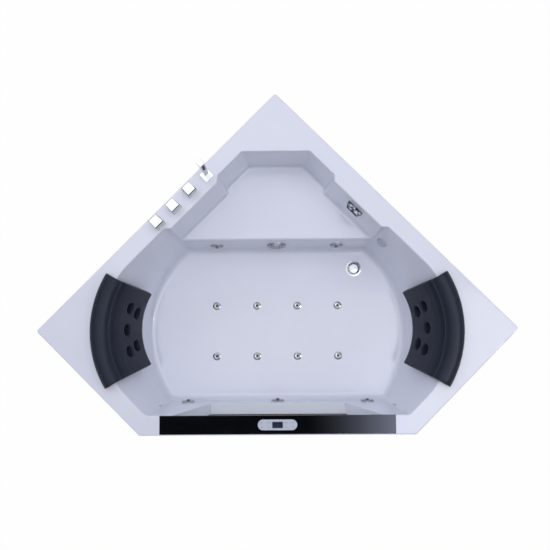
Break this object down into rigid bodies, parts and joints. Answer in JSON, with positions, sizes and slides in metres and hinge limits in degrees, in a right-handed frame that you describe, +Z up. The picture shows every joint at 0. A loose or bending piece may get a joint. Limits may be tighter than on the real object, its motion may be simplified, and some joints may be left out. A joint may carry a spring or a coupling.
{
  "type": "jetted bathtub",
  "caption": "Corner jetted bathtub with a cut-off front, moulded seat, end pillows, deck taps, hand shower, black control strip and a framed pump set under the shell.",
  "frame": {"origin": "on the floor under the middle of the bath's box", "axes": "+Z up, +Y towards the back corner where the two room walls meet, +X to the bather's right seen from the front"},
  "size_m": [1.9698, 1.412, 0.8643],
  "materials": {
    "acrylic": "gloss sanitary acrylic",
    "black_gloss": "high-gloss black",
    "panel_white": "satin white",
    "key_white": "soft matt white",
    "display_dark": "dark tinted window",
    "clear_glass": "clear toughened glass",
    "black_rubber": "matt",
    "black_foam": "soft integral-skin polyurethane foam",
    "chrome": "polished",
    "brass": "as cast",
    "white_pvc": "white pressure pipe",
    "grey_plastic": "moulded",
    "braided_hose": "braided sleeve",
    "lens_clear": "clear polycarbonate",
    "zinc_steel": "galvanised",
    "motor_alloy": "cast and painted",
    "black_plastic": "moulded",
    "rotor_steel": "machined"
  },
  "bodies": {
    "bath": {"tub_shell": "acrylic", "front_skirt": "acrylic", "left_skirt": "acrylic", "right_skirt": "acrylic", "deck_fascia": "black_gloss", "control_bezel": "panel_white", "display_lens": "display_dark", "front_glass": "clear_glass", "window_seal": "black_rubber", "left_pillow": "black_foam", "right_pillow": "black_foam", "valve_escutcheons": "chrome", "shower_sleeve": "chrome", "filler_spout": "chrome", "suction_cover": "chrome", "air_jet_caps": "chrome", "drain_flange": "chrome", "valve_bodies": "brass", "valve_backnuts": "brass", "jet_bodies": "white_pvc", "jet_nuts": "white_pvc", "suction_body": "white_pvc", "air_jet_bodies": "white_pvc", "air_pipe": "white_pvc", "water_pipes": "white_pvc", "suction_pipe": "white_pvc", "drain_elbow": "grey_plastic", "light_housing": "grey_plastic", "control_box": "grey_plastic", "filler_pipe": "braided_hose", "light_lens": "lens_clear", "steel_frame": "zinc_steel", "levelling_feet": "zinc_steel", "pump_motor": "motor_alloy", "pump_volute": "black_plastic", "air_blower": "black_plastic"},
    "hot_knob_body": {"hot_knob": "chrome"},
    "cold_knob_body": {"cold_knob": "chrome"},
    "diverter_knob_body": {"diverter_knob": "chrome"},
    "hand_shower_body": {"hand_shower": "chrome"},
    "drain_plug_body": {"drain_plug": "chrome"},
    "pump_rotor_body": {"pump_rotor": "rotor_steel"},
    "jet_ring_back_left_body": {"jet_ring_back_left": "chrome"},
    "jet_ring_back_right_body": {"jet_ring_back_right": "chrome"},
    "jet_ring_front_left_body": {"jet_ring_front_left": "chrome"},
    "jet_ring_front_right_body": {"jet_ring_front_right": "chrome"},
    "jet_ring_front_middle_body": {"jet_ring_front_middle": "chrome"},
    "jet_nozzle_back_left_body": {"jet_nozzle_back_left": "chrome"},
    "jet_nozzle_back_right_body": {"jet_nozzle_back_right": "chrome"},
    "jet_nozzle_front_left_body": {"jet_nozzle_front_left": "chrome"},
    "jet_nozzle_front_right_body": {"jet_nozzle_front_right": "chrome"},
    "jet_nozzle_front_middle_body": {"jet_nozzle_front_middle": "chrome"},
    "light_key_body": {"light_key": "key_white"},
    "power_key_body": {"power_key": "key_white"},
    "fill_key_body": {"fill_key": "key_white"},
    "heat_key_body": {"heat_key": "key_white"},
    "air_key_body": {"air_key": "key_white"},
    "pump_key_body": {"pump_key": "key_white"},
    "up_key_body": {"up_key": "key_white"},
    "down_key_body": {"down_key": "key_white"}
  },
  "joints": [
    {"name": "hot_knob_turn", "type": "hinge", "parent": "bath", "child": "hot_knob_body", "pos_m": [-0.4879, 0.16371, 0.65], "axis": [0, 0, 1], "range_deg": [0, 90]},
    {"name": "cold_knob_turn", "type": "hinge", "parent": "bath", "child": "cold_knob_body", "pos_m": [-0.42144, 0.23017, 0.65], "axis": [0, 0, 1], "range_deg": [-90, 0]},
    {"name": "diverter_knob_turn", "type": "hinge", "parent": "bath", "child": "diverter_knob_body", "pos_m": [-0.35497, 0.29664, 0.65], "axis": [0, 0, 1], "range_deg": [0, 90]},
    {"name": "hand_shower_lift", "type": "slide", "parent": "bath", "child": "hand_shower_body", "axis": [0, 0, 1], "range_m": [0, 0.055]},
    {"name": "drain_plug_lift", "type": "slide", "parent": "bath", "child": "drain_plug_body", "axis": [0, 0, 1], "range_m": [0, 0.009]},
    {"name": "jet_ring_back_left_turn", "type": "hinge", "parent": "bath", "child": "jet_ring_back_left_body", "pos_m": [-0.278, 0.10678, 0.315], "axis": [0, -0.9948, 0.1018], "range_deg": [0, 90]},
    {"name": "jet_nozzle_back_left_tilt", "type": "hinge", "parent": "jet_ring_back_left_body", "child": "jet_nozzle_back_left_body", "pos_m": [-0.278, 0.10678, 0.315], "axis": [1, 0, 0], "range_deg": [-15, 15]},
    {"name": "jet_ring_back_right_turn", "type": "hinge", "parent": "bath", "child": "jet_ring_back_right_body", "pos_m": [0.278, 0.10678, 0.315], "axis": [0, -0.9948, 0.1018], "range_deg": [0, 90]},
    {"name": "jet_nozzle_back_right_tilt", "type": "hinge", "parent": "jet_ring_back_right_body", "child": "jet_nozzle_back_right_body", "pos_m": [0.278, 0.10678, 0.315], "axis": [1, 0, 0], "range_deg": [-15, 15]},
    {"name": "jet_ring_front_left_turn", "type": "hinge", "parent": "bath", "child": "jet_ring_front_left_body", "pos_m": [-0.412, -0.61721, 0.305], "axis": [0, 0.9997, 0.0256], "range_deg": [0, 90]},
    {"name": "jet_nozzle_front_left_tilt", "type": "hinge", "parent": "jet_ring_front_left_body", "child": "jet_nozzle_front_left_body", "pos_m": [-0.412, -0.61721, 0.305], "axis": [1, 0, 0], "range_deg": [-15, 15]},
    {"name": "jet_ring_front_right_turn", "type": "hinge", "parent": "bath", "child": "jet_ring_front_right_body", "pos_m": [0.412, -0.61721, 0.305], "axis": [0, 0.9997, 0.0256], "range_deg": [0, 90]},
    {"name": "jet_nozzle_front_right_tilt", "type": "hinge", "parent": "jet_ring_front_right_body", "child": "jet_nozzle_front_right_body", "pos_m": [0.412, -0.61721, 0.305], "axis": [1, 0, 0], "range_deg": [-15, 15]},
    {"name": "jet_ring_front_middle_turn", "type": "hinge", "parent": "bath", "child": "jet_ring_front_middle_body", "pos_m": [0, -0.61678, 0.288], "axis": [0, 0.9997, 0.0256], "range_deg": [0, 90]},
    {"name": "jet_nozzle_front_middle_tilt", "type": "hinge", "parent": "jet_ring_front_middle_body", "child": "jet_nozzle_front_middle_body", "pos_m": [0, -0.61678, 0.288], "axis": [1, 0, 0], "range_deg": [-15, 15]},
    {"name": "light_key_press", "type": "slide", "parent": "bath", "child": "light_key_body", "axis": [0, 0, -1], "range_m": [0, 0.001], "stiffness_N_per_m": 800},
    {"name": "power_key_press", "type": "slide", "parent": "bath", "child": "power_key_body", "axis": [0, 0, -1], "range_m": [0, 0.001], "stiffness_N_per_m": 800},
    {"name": "fill_key_press", "type": "slide", "parent": "bath", "child": "fill_key_body", "axis": [0, 0, -1], "range_m": [0, 0.001], "stiffness_N_per_m": 800},
    {"name": "heat_key_press", "type": "slide", "parent": "bath", "child": "heat_key_body", "axis": [0, 0, -1], "range_m": [0, 0.001], "stiffness_N_per_m": 800},
    {"name": "air_key_press", "type": "slide", "parent": "bath", "child": "air_key_body", "axis": [0, 0, -1], "range_m": [0, 0.001], "stiffness_N_per_m": 800},
    {"name": "pump_key_press", "type": "slide", "parent": "bath", "child": "pump_key_body", "axis": [0, 0, -1], "range_m": [0, 0.001], "stiffness_N_per_m": 800},
    {"name": "up_key_press", "type": "slide", "parent": "bath", "child": "up_key_body", "axis": [0, 0, -1], "range_m": [0, 0.001], "stiffness_N_per_m": 800},
    {"name": "down_key_press", "type": "slide", "parent": "bath", "child": "down_key_body", "axis": [0, 0, -1], "range_m": [0, 0.001], "stiffness_N_per_m": 800},
    {"name": "pump_rotor_spin", "type": "hinge", "parent": "bath", "child": "pump_rotor_body", "pos_m": [-0.038, 0.30106, 0.175], "axis": [1, 0, 0], "continuous": true}
  ]
}
